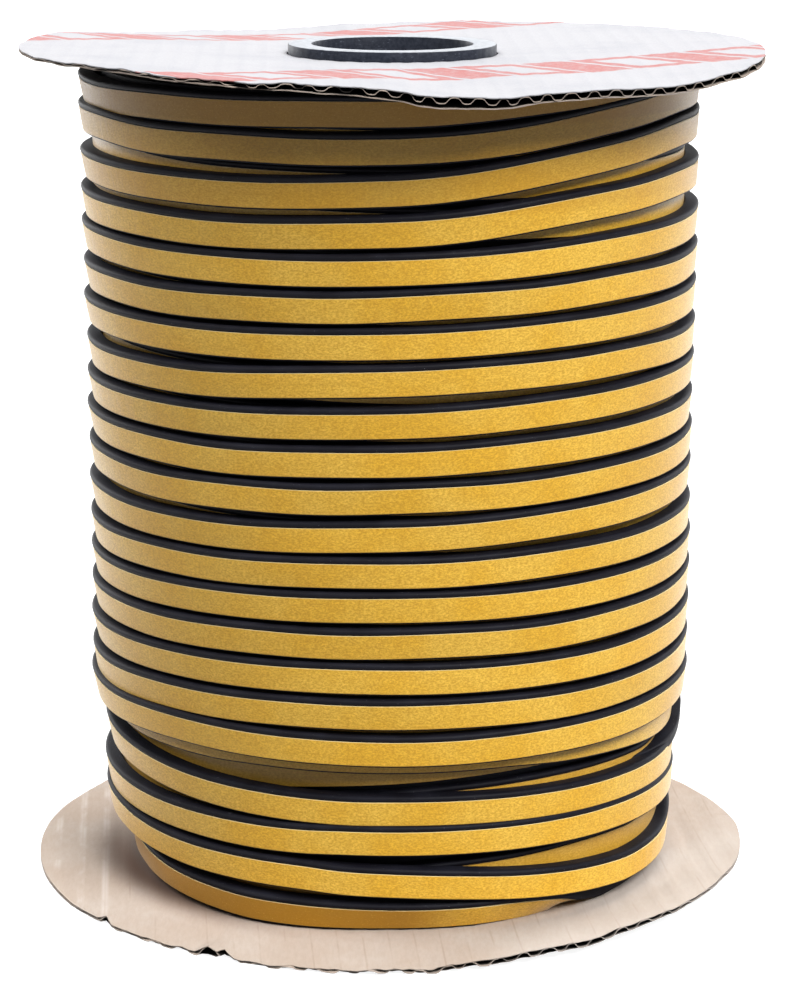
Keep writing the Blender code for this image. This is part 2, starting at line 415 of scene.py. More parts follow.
@dataclass(frozen=True)
class LinerPaper:
    """Golden silicone-coated paper: fine speckle, cloudy patches, a cream top edge and painted shade on the
    lower one.

    Painted shade browns the lowest turn and the rows under the top board; it shines softly where seen on
    edge.
    """

    name: str = "liner_paper"
    gold: tuple = (0.785, 0.452, 0.031)
    pale: tuple = (0.865, 0.570, 0.088)
    brown: tuple = (0.42, 0.190, 0.003)
    cut_edge: tuple = (0.86, 0.68, 0.34)
    low_edge_shade: tuple = (0.46, 0.24, 0.030)
    width: float = 7.3 * MM
    edge_shown: float = 0.17 * MM
    cloud: Grain = Grain(48, 0.32, 0.68, 4.0, 0.5, most=0.75)
    patch: Grain = Grain(620, 0.38, 0.64, 3.0, 0.6, most=0.0, least=0.24, stretch=(0.6, 1.0, 1.0))
    fibre: Grain = Grain(1900, 0.38, 0.62, 4.0, 0.75, most=0.0, least=0.62, stretch=(0.6, 1.0, 1.0))
    fleck: Grain = Grain(2600, 0.62, 0.72, 2.0, most=0.40)
    crumpled: Grain = Grain(17, 0.50, 0.62, 1.0)
    crease: Grain = Grain(210, detail=2.0, stretch=(1.0, 0.3, 1.0), turn=0.25)
    crease_height: float = 7.0
    # Painted shade: heights, side and share for the lowest turn, then heights and shares under the top board.
    shade_on_lowest_turn: tuple = (15.0 * MM, 14.2 * MM)
    shade_on_lowest_side: tuple = (-45.0, 42 * MM, 60 * MM)
    shade_on_lowest_share: float = 0.85
    shaded_rows: tuple = ((216 * MM, 219.5 * MM, 0.33), (241 * MM, 243 * MM, 0.6))

    def painted_shade(self, bench: Bench, colour: Socket, places: Socket) -> Socket:
        """Paint shade, in brown, on the lowest turn's front and left and on the rows under the top board.

        Args:
            bench: The material being made.
            colour: The paper's colour so far.
            places: Object coordinates.

        Returns:
            The paper's colour with its painted shade.
        """
        height = bench.axis(places, "Z")
        # Painted shade on the lowest turn's front and left.
        lowest = bench.times(bench.ramp(height, *self.shade_on_lowest_turn), bench.beyond(*self.shade_on_lowest_side))
        colour = bench.tint(colour, self.brown, lowest, self.shade_on_lowest_share)
        # Painted shade on the rows under the top board.
        for low, high, share in self.shaded_rows:
            colour = bench.tint(colour, self.brown, bench.ramp(height, low, high), share)
        return colour

    def made(self) -> bpy.types.Material:
        """Build the paper's material."""
        bench = Bench(self.name)
        places, along = bench.places(), bench.along()
        fibre = bench.noise(along, self.fibre)
        speckle = bench.spread(fibre, self.fibre)
        crease = bench.times(bench.noise(along, self.crease), bench.spots(places, self.crumpled))
        colour = bench.mottle(self.gold, self.pale, places, self.cloud)
        colour = bench.mottle(colour, self.brown, along, self.patch)
        colour = bench.tint(colour, self.brown, speckle, self.fibre.most, self.fibre.least)
        colour = self.painted_shade(bench, colour, places)
        colour = bench.mottle(colour, self.pale, places, self.fleck)
        across = bench.axis(along, "Y")
        low = bench.ramp(across, self.edge_shown * 1.6, self.edge_shown * 0.4)
        high = bench.ramp(across, self.width - self.edge_shown * 1.5, self.width - self.edge_shown * 0.8)
        # Painted shade darkens the face's lower edge.
        colour = bench.tint(colour, self.low_edge_shade, low, 0.7)
        bench.put("Base Color", bench.blend(high, colour, self.cut_edge))
        bench.put("Roughness", bench.level(speckle, 0.44, 0.32))
        bench.put("Specular IOR Level", 0.32)
        bench.put("Sheen Weight", 0.35)
        bench.put("Sheen Roughness", 0.32)
        height = bench.sums("ADD", fibre, bench.times(crease, self.crease_height))
        bench.relief(height, 0.03 * MM, 0.8)
        return bench.material


@dataclass(frozen=True)
class FoamRubber:
    """Black satin foam rubber: fine skin grain, a few dust specks, and pale scratches along the strip."""

    black: tuple = (0.0040, 0.0038, 0.0062)
    skin: tuple = (0.0075, 0.0075, 0.0115)
    dust: tuple = (0.20, 0.20, 0.22)
    grain: Grain = Grain(2200, detail=4.0, rough=0.65)
    patches: Grain = Grain(90, 0.35, 0.7)
    specks: Grain = Grain(3100, 0.755, 0.80, 1.0, most=0.7)
    scratches: Grain = Grain(260, 0.70, 0.78, 2.0, most=0.08, stretch=(1.0, 1.0, 9.0))

    def made(self) -> bpy.types.Material:
        """Build the rubber's material."""
        bench = Bench("foam_rubber")
        places = bench.places()
        grain = bench.noise(places, self.grain)
        colour = bench.mottle(self.black, self.skin, places, self.patches)
        colour = bench.mottle(colour, self.dust, places, self.specks)
        bench.put("Base Color", bench.mottle(colour, self.dust, places, self.scratches))
        bench.put("Roughness", bench.level(grain, 0.42, 0.66))
        bench.put("Specular IOR Level", 0.08)
        bench.relief(grain, 0.03 * MM, 0.6)
        return bench.material


@dataclass(frozen=True)
class KraftFacing:
    """Unbleached board: fibres, cloudy patches, and faint dark lines where the flutes are glued."""

    name: str
    paper: tuple = (0.312, 0.252, 0.207)
    worn: tuple = (0.354, 0.311, 0.274)
    dark: tuple = (0.20, 0.135, 0.095)
    # The pale colour paints highlight and light on the base.
    pale: tuple = (0.50, 0.46, 0.43)
    # Colour of the painted contact shadow beside the winding.
    contact_shadow: tuple = (0.062, 0.030, 0.018)
    pitch: float = 7.6 * MM
    flute_angle: float = math.radians(4.5)
    line_share: float = 0.34
    rim: float = 112.5 * MM
    # Whether the board takes painted light and shade.
    light_and_shade_painted: bool = False
    cloud: Grain = Grain(28, 0.3, 0.72, 4.0, most=0.8)
    fibre: Grain = Grain(900, 0.35, 0.65, 5.0, 0.7, most=0.0, least=0.16)
    fleck: Grain = Grain(1700, 0.66, 0.76, 2.0, most=0.25)
    broken: Grain = Grain(150, 0.38, 0.62, stretch=(1.0, 0.35, 1.0))
    glue_line: tuple = (0.955, 0.995)
    # Side of the painted highlight on the flute ridges.
    ridge_highlight_side: tuple = (-90.0, 80 * MM, 90 * MM)
    # Side of the painted shade line along a crease; its offset follows.
    crease_shade_side: tuple = (68.3, 90 * MM, 97 * MM)
    # Side made paler as painted light.
    painted_light_side: tuple = (58.0, 70 * MM, 96 * MM)
    # Side of the painted contact shadow.
    shadowed_side: tuple = (-62.0, 58 * MM, 88 * MM)
    fold_off: float = 57.5 * MM
    # Rings of the painted contact shadow.
    shadow_rings: tuple = (99 * MM, 84 * MM)

    def made(self) -> bpy.types.Material:
        """Build the board's material."""
        bench = Bench(self.name)
        places = bench.places()
        fibre = bench.noise(bench.stretched(places, (1.0, 0.25, 1.0), -self.flute_angle), self.fibre)
        wave = bench.ridges(self.pitch, self.flute_angle)
        broken = bench.spots(places, self.broken)
        line = bench.times(bench.ramp(wave, *self.glue_line), broken)
        colour = bench.mottle(self.paper, self.worn, places, self.cloud)
        streaks = bench.spread(fibre, self.fibre)
        colour = bench.tint(colour, self.dark, streaks, self.fibre.most, self.fibre.least)
        colour = bench.mottle(colour, self.dark, places, self.fleck)
        colour = bench.tint(colour, self.dark, line, self.line_share)
        # The base's board takes painted light and shade.
        if self.light_and_shade_painted:
            colour = self.paint_light_and_shade(bench, colour, wave, broken)
        # The inner sides behind the rim take painted shade.
        bench.put("Base Color", bench.shade_inside(colour, self.rim))
        bench.put("Roughness", 0.86)
        bench.put("Specular IOR Level", 0.25)
        bench.relief(fibre, 0.05 * MM, 0.6)
        return bench.material

    def paint_light_and_shade(self, bench: Bench, colour: Socket, wave: Socket, broken: Socket) -> Socket:
        """Paint light and shade: a ridge highlight at the left, a crease shade and paler right side, a
        contact shadow.

        Args:
            bench: The material being made.
            colour: The board's colour so far.
            wave: The flutes' wave, 1 on a ridge.
            broken: A noise that breaks the marks up.

        Returns:
            The board's colour with its painted light and shade.
        """
        # Painted highlight on the flute ridges at the left.
        ridge_highlight = bench.times(bench.beyond(*self.ridge_highlight_side), broken)
        ridge_highlight = bench.times(bench.ramp(wave, 0.30, 1.1), ridge_highlight)
        colour = bench.tint(colour, self.pale, ridge_highlight, 0.45)
        # Painted shade line along a crease on the right, in the dark colour.
        beside = bench.away(bench.towards(self.crease_shade_side[0] + 90.0), self.fold_off)
        crease_shade = bench.times(bench.ramp(beside, 0.9 * MM, 0.1 * MM), bench.beyond(*self.crease_shade_side))
        colour = bench.tint(colour, self.dark, crease_shade, 0.4)
        # Painted light: the right side paler.
        colour = bench.tint(colour, self.pale, bench.beyond(*self.painted_light_side), 0.35)
        # Painted contact shadow on the board beside the winding.
        shadowed = bench.times(bench.ramp(bench.radius(), *self.shadow_rings), bench.beyond(*self.shadowed_side))
        return bench.tint(colour, self.contact_shadow, shadowed, 0.97)


@dataclass(frozen=True)
class WhiteFacing:
    """White coated board with faint flute shadows, light scuffs, and two plain printed red borders.

    A border is a row of slanted blocks, by turns filled and outlined.
    """

    paper: tuple = (0.264, 0.262, 0.276)
    grey: tuple = (0.180, 0.188, 0.212)
    red: tuple = (0.25, 0.070, 0.064)
    pitch: float = 6.5 * MM
    flute_angle: float = math.radians(2.0)
    rim: float = 113.5 * MM
    upper_side: float = 250.5 * MM
    cloud: Grain = Grain(45, 0.42, 0.75, 5.0, most=0.35)
    fibre: Grain = Grain(1400, 0.3, 0.7, 4.0, 0.7)
    scuff: Grain = Grain(70, 0.62, 0.72, 6.0, 0.75, most=0.35, stretch=(1.0, 6.0, 1.0))
    worn_ink: Grain = Grain(420, 0.30, 0.62, 5.0, 0.7, least=0.6)
    border_turn: float = math.radians(-27.0)
    border_middle: float = 7 * MM
    border_apart: float = 66 * MM
    border_half: float = 13.3 * MM
    slant: float = 0.35
    repeat: float = 40 * MM
    filled: tuple = (7.5 * MM, 7.0 * MM)
    outlined: tuple = (27.5 * MM, 11.0 * MM)
    stroke: float = 4.4 * MM
    soft: float = 0.2 * MM

    def within(self, bench: Bench, distance: Socket, half: float) -> Socket:
        """1 where a distance is under half a width, and 0 where it is over, with a soft step between."""
        return bench.ramp(distance, half + self.soft, half - self.soft)

    def border(self, bench: Bench, places: Socket) -> Socket:
        """Share of red ink.

        Two straight borders run side by side, each twice border_half wide. Along them the place is taken
        modulo the repeat, and ink lies within the filled block and round the rim of the outlined one.

        Args:
            bench: The material being made.
            places: Object coordinates.

        Returns:
            0 on bare board and up to 1 on ink.
        """
        turned = bench.stretched(places, turn=self.border_turn)
        off = bench.sums("SUBTRACT", bench.axis(turned, "Y"), self.border_middle)
        side = bench.away(bench.sums("ABSOLUTE", off), self.border_apart)
        slanted = bench.sums("ADD", bench.axis(turned, "X"), bench.times(off, self.slant))
        spot = bench.times(bench.sums("FRACT", bench.sums("DIVIDE", slanted, self.repeat)), self.repeat)
        block = self.within(bench, bench.away(spot, self.filled[0]), self.filled[1])
        from_box = bench.away(spot, self.outlined[0])
        box = self.within(bench, from_box, self.outlined[1])
        hollow = bench.times(
            self.within(bench, from_box, self.outlined[1] - self.stroke),
            self.within(bench, side, self.border_half - self.stroke),
        )
        ink = bench.sums("MAXIMUM", block, bench.sums("SUBTRACT", box, hollow))
        worn = bench.level(bench.spots(places, self.worn_ink), self.worn_ink.least, self.worn_ink.most)
        return bench.times(bench.times(self.within(bench, side, self.border_half), ink), worn)

    def made(self) -> bpy.types.Material:
        """Build the white board's material."""
        bench = Bench("white_board")
        places = bench.places()
        fibre = bench.noise(places, self.fibre)
        ridge = bench.ramp(bench.ridges(self.pitch, self.flute_angle), 0.2, 1.0)
        colour = bench.mottle(self.paper, self.grey, places, self.cloud)
        colour = bench.tint(colour, self.grey, ridge, 0.10)
        colour = bench.mottle(colour, self.grey, places, self.scuff)
        upper = bench.ramp(bench.axis(places, "Z"), self.upper_side - 0.5 * MM, self.upper_side + 0.5 * MM)
        colour = bench.blend(bench.times(self.border(bench, places), upper), colour, self.red)
        # The inner sides behind the rim take painted shade.
        bench.put("Base Color", bench.shade_inside(colour, self.rim))
        bench.put("Roughness", bench.level(bench.spread(fibre, self.fibre), 0.62, 0.5))
        bench.put("Specular IOR Level", 0.4)
        bench.relief(fibre, 0.02 * MM, 0.5)
        return bench.material


@dataclass(frozen=True)
class TubePlastic:
    """Dark blue-grey plastic: chalky scuffs and scratches outside, and a pale sawn end, its cut face
    lightened by painted sheen.
    """

    dark: tuple = (0.008, 0.010, 0.017)
    chalk: tuple = (0.17, 0.19, 0.24)
    sawn_end_and_sheen: tuple = (0.345, 0.36, 0.385)
    marks: Grain = Grain(700, 0.3, 0.7, 6.0, 0.75, most=0.10)
    patch: Grain = Grain(90, 0.44, 0.60)
    scratch: Grain = Grain(520, 0.58, 0.70, 5.0, 0.8, stretch=(1.0, 1.0, 5.0), turn=0.4)
    top: float = 257.5 * MM

    def made(self) -> bpy.types.Material:
        """Build the tube's material."""
        bench = Bench("tube_plastic")
        places = bench.places()
        fine = bench.noise(places, self.marks)
        marks = bench.spread(fine, self.marks)
        scuff = bench.times(bench.spots(places, self.scratch), bench.spots(places, self.patch))
        end = bench.ramp(bench.axis(places, "Z"), self.top - 0.10 * MM, self.top - 0.02 * MM)
        colour = bench.tint(self.dark, self.chalk, marks, self.marks.most)
        colour = bench.tint(colour, self.chalk, scuff, 0.75)
        # The sawn end's pale colour: its chalky cut face with painted sheen.
        cut_face_and_sheen = bench.times(end, bench.level(marks, 0.55, 0.95))
        bench.put("Base Color", bench.blend(cut_face_and_sheen, colour, self.sawn_end_and_sheen))
        bench.put("Roughness", bench.level(scuff, 0.42, 0.75))
        bench.put("Specular IOR Level", 0.12)
        bench.relief(fine, 0.06 * MM, 0.5)
        return bench.material


@dataclass(frozen=True)
class LitPaper:
    """Plain paper with its own even white glow, for the floor and the backdrop."""

    name: str
    white: float
    glow: float

    def made(self) -> bpy.types.Material:
        """Build the paper's material."""
        bench = Bench(self.name)
        bench.put("Base Color", (self.white, self.white, self.white, 1.0))
        bench.put("Roughness", 0.9)
        bench.put("Specular IOR Level", 0.0)
        bench.put("Emission Color", (1.0, 1.0, 1.0, 1.0))
        bench.put("Emission Strength", self.glow)
        return bench.material


def dress(
    piece: bpy.types.Object, material: bpy.types.Material, replaced: tuple[str, ...] = ()
) -> None:
    """Give a piece its finish and attach it to the reel's body.

    Args:
        piece: The new mesh piece.
        material: Its finish.
        replaced: CAD nodes that the piece stands for.
    """
    piece.data.materials.append(material)
    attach(piece, BODY)
    if replaced:
        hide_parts(*replaced)
    triangles = sum(len(face.vertices) - 2 for face in piece.data.polygons)
    log.info("%s: %d triangles", piece.name, triangles)


# Boards


EVEN_RIM = ((-180, 0.0), (0, 0.0), (90, 0.0))


@dataclass
class Board:
    """Round single-wall board: two facings and a fluted paper between them.

    Round the rim, rim_rise lifts the board, rim_thickness crushes it, peel lets the lower facing hang, flare
    pushes the rim out, tatter roughens it, and tuck draws in the lower facing. A notch is (degrees, half
    width in degrees, depth), and a lift is (degrees, half width in degrees, length, height).
    """

    name: str
    radius: float
    underside: float
    thickness: float
    pitch: float
    flute_angle: float
    rim_rise: tuple
    rim_thickness: tuple
    warp_from: float
    hole_radius: float = 32.1 * MM
    facing: float = 0.34 * MM
    medium: float = 0.26 * MM
    relief: float = 0.05 * MM
    ragged: float = 0.28 * MM
    peel: tuple = EVEN_RIM
    flare: tuple = EVEN_RIM
    tatter: tuple = EVEN_RIM
    tuck: tuple = EVEN_RIM
    notches: tuple = ()
    lifts: tuple = ()
    squareness: float = 1.9
    widest: float = 113.35 * MM
    lowest: float = 0.02 * MM
    highest: float = 257.46 * MM
    columns: int = 640
    seed: int = 3

    def plan(self, half: Half, rows: int, seed: int, tucked: float) -> tuple[np.ndarray, np.ndarray]:
        """Lay out one half of the disc in straight columns along the flutes.

        A column lies at R sin(p) across the flutes for p from -90 to 90 degrees. It runs from the rim, at
        R cos(p) out, in to the hole's edge or the middle line, in rows that crowd towards the rim.

        Args:
            half: Which side of the middle line.
            rows: Points in a column.
            seed: Picks the rim's ragged ripple.
            tucked: Share of the tuck that the paper's rim is drawn in by.

        Returns:
            Places across and along the flutes, each (rows, columns), with rows running towards +Y.
        """
        fan = np.linspace(-1, 1, self.columns) * math.radians(89.65)
        angle = fan + self.flute_angle if half is Half.FRONT else math.pi - fan + self.flute_angle
        reach = self.radius - 0.35 * MM + self.ragged * ripple(angle, seed, (30, 190)) * 0.45
        torn = np.clip(ripple(angle, seed + 50, (14, 80)), 0.0, 1.5)
        drawn_in = around(self.tatter, angle) * torn + around(self.tuck, angle) * tucked
        reach = np.minimum(reach + (around(self.flare, angle) - drawn_in) * MM, self.widest)
        across = (self.radius - 0.4 * MM) * np.sin(fan)
        rim = reach * np.cos(fan)
        if half is Half.FRONT:
            for centre, width, depth in self.notches:
                rim = rim - depth * MM * np.clip(1 - np.abs(np.degrees(angle) - centre) / width, 0, 1)
        inner = np.sqrt(np.clip(self.hole_radius**2 - across**2, 0, None))
        rim = np.maximum(rim, inner + 0.1 * MM)
        share = np.linspace(0, 1, rows)[:, None] ** 1.6
        along = half.value * (rim * (1 - share) + inner * share)
        if half is Half.BACK:
            along = along[::-1]
        return np.broadcast_to(across, along.shape), along

    def place(self, across: np.ndarray, along: np.ndarray, height: np.ndarray) -> np.ndarray:
        """Turn flute coordinates by the flute angle into the reel's frame."""
        cosine, sine = math.cos(self.flute_angle), math.sin(self.flute_angle)
        x = across * cosine - along * sine
        y = across * sine + along * cosine
        return np.stack([x, y, np.broadcast_to(height, x.shape)], axis=-1)

    def levels(self, across: np.ndarray, along: np.ndarray) -> tuple[np.ndarray, np.ndarray, np.ndarray]:
        """Upper face height, thickness and peel of the board.

        The rim's rise grows evenly from nothing at warp_from, and the thickness changes to the rim's as a
        smooth step of the radius. The peel lets only the lower facing down near the rim, and a lift raises
        only the upper facing, as a ridge between two angles.

        Args:
            across: Places across the flutes.
            along: Places along the flutes.

        Returns:
            Height of the upper face, thickness there, and how far the lower facing hangs down.
        """
        radius = np.hypot(across, along)
        angle = np.arctan2(across, -along) + self.flute_angle
        out = np.clip((radius - self.warp_from) / (self.radius - self.warp_from), 0, 1)
        near_rim = ease((radius - self.radius + 16 * MM) / (15 * MM))
        rise = around(self.rim_rise, angle) * MM * out
        wobble = 0.12 * MM * ripple(angle, self.seed + 5, (3, 40)) * near_rim
        wobble = wobble * (1 + 0.5 * around(self.tatter, angle))
        thick = self.thickness + (around(self.rim_thickness, angle) * MM - self.thickness) * near_rim
        hang = around(self.peel, angle) * MM * ease((radius - self.radius + 11 * MM) / (11 * MM))
        lift = np.zeros_like(radius)
        for centre, width, length, height in self.lifts:
            beside = np.clip(1 - np.abs(np.degrees(angle) - centre) / width, 0, 1)
            lift = lift + height * MM * beside * ease((radius - self.radius + length * MM) / (length * MM))
        return self.underside + self.thickness + rise + wobble + lift, thick + lift, hang

    def flutes(self, across: np.ndarray) -> np.ndarray:
        """The fluted paper's wave: the cosine of the place across, slowly drifting, squared off by a tanh."""
        drift = 0.35 * ripple(across / self.radius * 2.2, self.seed + 9, (3, 30))
        wave = np.cos(math.tau * across / self.pitch + drift)
        return np.tanh(self.squareness * wave) / math.tanh(self.squareness)

    def sheet(self, name: str, layer: str, rows: tuple[int, int], seed: int) -> bpy.types.Object:
        """Build one of the board's three papers.

        Args:
            name: The piece's name.
            layer: "upper", "medium" or "lower".
            rows: Points in a front and in a back column.
            seed: Picks the rim's ragged ripple.

        Returns:
            The new closed piece.
        """
        tops, bottoms = [], []
        hidden = {"upper": (0.0, 1.0), "medium": (1.0, 1.0), "lower": (1.0, 0.0)}[layer]
        for half, count in ((Half.FRONT, rows[0]), (Half.BACK, rows[1])):
            across, along = self.plan(half, count, seed, 1.0 if layer == "lower" else 0.0)
            upper, thick, hang = self.levels(across, along)
            washboard = self.relief * self.flutes(across)
            if layer == "upper":
                high, low = upper + washboard, upper + washboard - self.facing
            elif layer == "lower":
                low = upper - thick - hang
                high = low + self.facing
                low, high = low + washboard * 0.5, high + washboard * 0.5
            else:
                room = (thick - 2 * self.facing - self.medium) / 2
                middle = upper - thick / 2 + room * self.flutes(across)
                low, high = middle - self.medium / 2, middle + self.medium / 2
            least = 0.2 * MM
            low = np.clip(low, self.lowest, self.highest - least)
            high = np.minimum(np.maximum(high, low + 0.9 * (high - low).clip(min=least)), self.highest)
            tops.append(self.place(across, along, high))
            bottoms.append(self.place(across, along, low))
        return closed_sheet(name, tops, bottoms, hidden)

    def build(self, node: str, upper: bpy.types.Material, plain: bpy.types.Material, slot: Slot) -> None:
        """Build and dress the board.

        Args:
            node: The CAD node that it stands for.
            upper: Finish of the upper facing.
            plain: Finish of the other two papers.
            slot: Slot of the upper facing; not used.
        """
        facing = self.sheet(f"{self.name}_upper_facing", "upper", (26, 10), self.seed)
        dress(facing, upper, (node,))
        dress(self.sheet(f"{self.name}_fluted_paper", "medium", (12, 6), self.seed + 1), plain)
        dress(self.sheet(f"{self.name}_lower_facing", "lower", (20, 8), self.seed + 2), plain)


# Winding


def facing_left(turns: np.ndarray) -> np.ndarray:
    """How far the winding faces left: the squared cosine of the angle from 80 degrees left, or else 0."""
    return np.clip(np.cos(math.tau * turns - math.radians(80)), 0, 1) ** 2


def threaded(table: tuple, steps: int) -> tuple[np.ndarray, ...]:
    """Run smooth curves through a table along the strip.

    Args:
        table: Rows that start with a rising turn.
        steps: Steps in a turn.

    Returns:
        The turn at each step, then the smooth value there of each further column.
    """
    rows = np.array(table)
    keys = rows[:, 0]
    turns = np.linspace(keys[0], keys[-1], round((keys[-1] - keys[0]) * steps))
    return turns, *(smooth_through(keys, column, turns) for column in rows[:, 1:].T)


@dataclass
class Run:
    """A length of wound strip: where its liner face's middle is at each step."""

    turns: np.ndarray
    radius: np.ndarray
    height: np.ndarray
    lean: np.ndarray
    ceiling: np.ndarray | None = None
    press_room: float = 2.4 * MM

    @property
    def angle(self) -> np.ndarray:
        """Angle from the front: the strip runs clockwise, seen from above."""
        return -math.tau * self.turns

    def carry(self, section: np.ndarray) -> np.ndarray:
        """Carry a section of (out, up) corners along the run.

        Each corner turns by the lean in the plane through the axis. Under a ceiling, what would rise past a
        knee is pressed together as the ceiling less an exponential.

        Args:
            section: Corners, (corners, 2), listed the way that leads up the outer side.

        Returns:
            Places, (steps, corners, 3).
        """
        cosine, sine = np.cos(self.lean)[:, None], np.sin(self.lean)[:, None]
        out = section[None, :, 0] * cosine + section[None, :, 1] * sine
        up = section[None, :, 1] * cosine - section[None, :, 0] * sine
        reach = self.radius[:, None] + out
        height = self.height[:, None] + up
        if self.ceiling is not None:
            room = self.press_room
            over = height - (self.ceiling[:, None] - room)
            pressed = self.ceiling[:, None] - room * np.exp(-np.clip(over, 0, None) / room)
            height = np.where(over > 0, pressed, height)
        angle = self.angle[:, None]
        return np.stack([reach * np.sin(angle), -reach * np.cos(angle), height], axis=-1)

    def sweep(self, name: str, section: np.ndarray) -> bpy.types.Object:
        """Make a closed piece by carrying a closed section along the run.

        Its map holds metres along the strip and metres round the section.

        Args:
            name: The piece's plain name.
            section: Corners in metres, listed the way that leads up the outer side.

        Returns:
            The new object, capped at both ends.
        """
        points = self.carry(section)
        steps, corners = points.shape[:2]
        quads = grid_faces(steps, corners, wrap=True)
        first = np.arange(corners)[None, ::-1]
        last = (steps - 1) * corners + np.arange(corners)[None, :]
        length = np.concatenate([[0.0], np.cumsum(np.abs(np.diff(self.angle)) * self.radius[1:])])
        sides = np.linalg.norm(np.roll(section, -1, axis=0) - section, axis=1)
        round_it = np.concatenate([[0.0], np.cumsum(sides)])
        along = np.broadcast_to(length[:, None], (steps, corners))
        u = np.stack([along[:-1], along[:-1], along[1:], along[1:]], axis=-1)
        low, high = np.broadcast_to(round_it[:-1], u.shape[:2]), np.broadcast_to(round_it[1:], u.shape[:2])
        v = np.stack([low, high, high, low], axis=-1)
        caps = np.zeros((2 * corners, 2))
        uv = np.concatenate([np.stack([u, v], axis=-1).reshape(-1, 2), caps])
        return new_piece(name, points.reshape(-1, 3), [quads, first, last], uv)


@dataclass
class StripSection:
    """The strip's section in millimetres, as (out, up) from the middle of its liner face."""

    face_half: float = 3.58
    foot: float = -4.2
    top: float = 5.35
    back: float = -4.1
    liner_thickness: float = 0.26
    bead: tuple = ((0.06, 3.85), (0.26, 4.15), (0.33, 4.5), (0.22, 4.9), (-0.1, 5.2), (-0.6, 5.35))

    def rubber(self) -> np.ndarray:
        """Rubber: flat face, a rounded bead over it, a slightly hollow top side, and rounded back corners."""
        half, back = self.face_half, self.back
        corners = [
            (-0.45, self.foot),
            (-0.12, self.foot + 0.12),
            (0.0, self.foot + 0.4),
            (0.0, -half),
            (0.0, 0.0),
            (0.0, half),
            *self.bead,
            (-1.6, self.top - 0.05),
            (back + 1.2, self.top - 0.08),
            (back + 0.35, self.top - 0.05),
            (back, self.top - 0.4),
            (back, self.foot + 0.4),
            (back + 0.35, self.foot),
            (-2.0, self.foot + 0.04),
        ]
        return np.array(corners) * MM

    def liner(self) -> np.ndarray:
        """Paper ribbon on the face, from its lower outer edge up, so that its map starts there."""
        half, thick = self.face_half, self.liner_thickness
        corners = [
            (thick, -half),
            (thick + 0.03, -half / 2),
            (thick + 0.04, 0.0),
            (thick + 0.03, half / 2),
            (thick, half),
            (-0.04, half),
            (-0.04, -half),
        ]
        return np.array(corners) * MM


@dataclass
class OuterLayer:
    """The outermost layer: it falls clockwise from the top, and its end drops off the layer at the right.

    Each row holds the strip's heights at the angles of seen_at, and the tail goes on as (turn, height,
    radius, lean in degrees).
    """

    radius: float = 93.1 * MM
    steps: int = 132
    seen_at: tuple = (69.0, 45.0, 0.0, -39.6, -69.8)
    rows: tuple = (
        (252.4, 250.6, 245.8, 244.9, 244.6),
        (245.0, 241.9, 235.3, 235.0, 236.1),
        (234.6, 231.6, 223.7, 221.9, 222.0),
        (219.9, 218.2, 212.0, 210.3, 210.7),
        (205.0, 204.2, 201.3, 200.1, 200.5),
        (193.6, 193.1, 191.0, 189.2, 188.8),
        (182.4, 182.1, 180.3, 178.6, 178.1),
        (170.3, 171.0, 169.8, 166.4, 165.3),
        (159.8, 159.5, 157.5, 155.2, 154.4),
        (147.9, 148.0, 146.4, 144.4, 143.9),
        (137.2, 136.9, 135.5, 133.7, 133.1),
        (126.7, 126.5, 124.4, 121.9, 121.3),
        (114.3, 114.4, 113.7, 111.7, 110.2),
        (103.9, 103.5, 103.4, 101.5, 99.6),
        (93.5, 92.9, 92.6, 91.1, 89.4),
        (82.2, 81.7, 82.2, 80.7, 78.9),
        (71.4, 70.7, 71.6, 70.3, 68.1),
        (61.2, 60.8, 60.4, 60.8, 59.4),
    )
    tail: tuple = (
        (17.50, 58.4, 93.1, 4),
        (17.66, 57.8, 92.6, 12),
        (17.70, 55.9, 90.6, 45),
        (17.73, 51.2, 88.3, 80),
        (17.755, 46.2, 87.2, 92),
        (17.78, 42.4, 85.8, 96),
        (17.80, 40.9, 84.2, 96),
        (17.82, 40.6, 82.2, 96),
        (17.86, 40.6, 77.6, 96),
    )
    start: float = -0.178
    lean: float = 4.0
    left_lean: float = 6.0
    bulge: float = 1.1 * MM
    under_cover: float = 0.2 * MM

    def run(self, cover: Board) -> Run:
        """Thread the strip through the heights at which its rows stand.

        The upper rows bulge to the left, and every row leans more there.

        Args:
            cover: The board that presses on the first turn.

        Returns:
            The layer's run.
        """
        columns = -np.array(self.seen_at) / 360
        keys = (np.arange(len(self.rows))[:, None] + columns[None, :]).ravel()
        heights = np.array(self.rows).ravel()
        tail = np.array(self.tail)
        keys = np.concatenate([keys, tail[:, 0]])
        heights = np.concatenate([heights, tail[:, 1]]) * MM
        end = self.tail[-1][0]
        turns = np.linspace(self.start, end, round((end - self.start) * self.steps))
        height = smooth_through(keys, heights, turns)
        body_keys = np.concatenate([[self.start, len(self.rows) - 0.8], tail[:, 0]])
        radius = smooth_through(body_keys, np.concatenate([[self.radius / MM] * 2, tail[:, 2]]), turns) * MM
        lean = smooth_through(body_keys, np.concatenate([[self.lean] * 2, tail[:, 3]]), turns)
        whole = turns * math.tau / len(self.rows)
        left = facing_left(turns)
        radius = radius + 0.16 * MM * ripple(whole, 11, (5, 90))
        radius = radius + self.bulge * left * ease((height - 150 * MM) / (50 * MM))
        lean = np.radians(lean + self.left_lean * left + 1.1 * ripple(whole, 12, (5, 120)))
        height = height + 0.09 * MM * ripple(whole, 13, (20, 200))
        angle = -math.tau * turns - cover.flute_angle
        upper, thick, _ = cover.levels(self.radius * np.sin(angle), -self.radius * np.cos(angle))
        return Run(turns, radius, height, lean, upper - thick - self.under_cover)


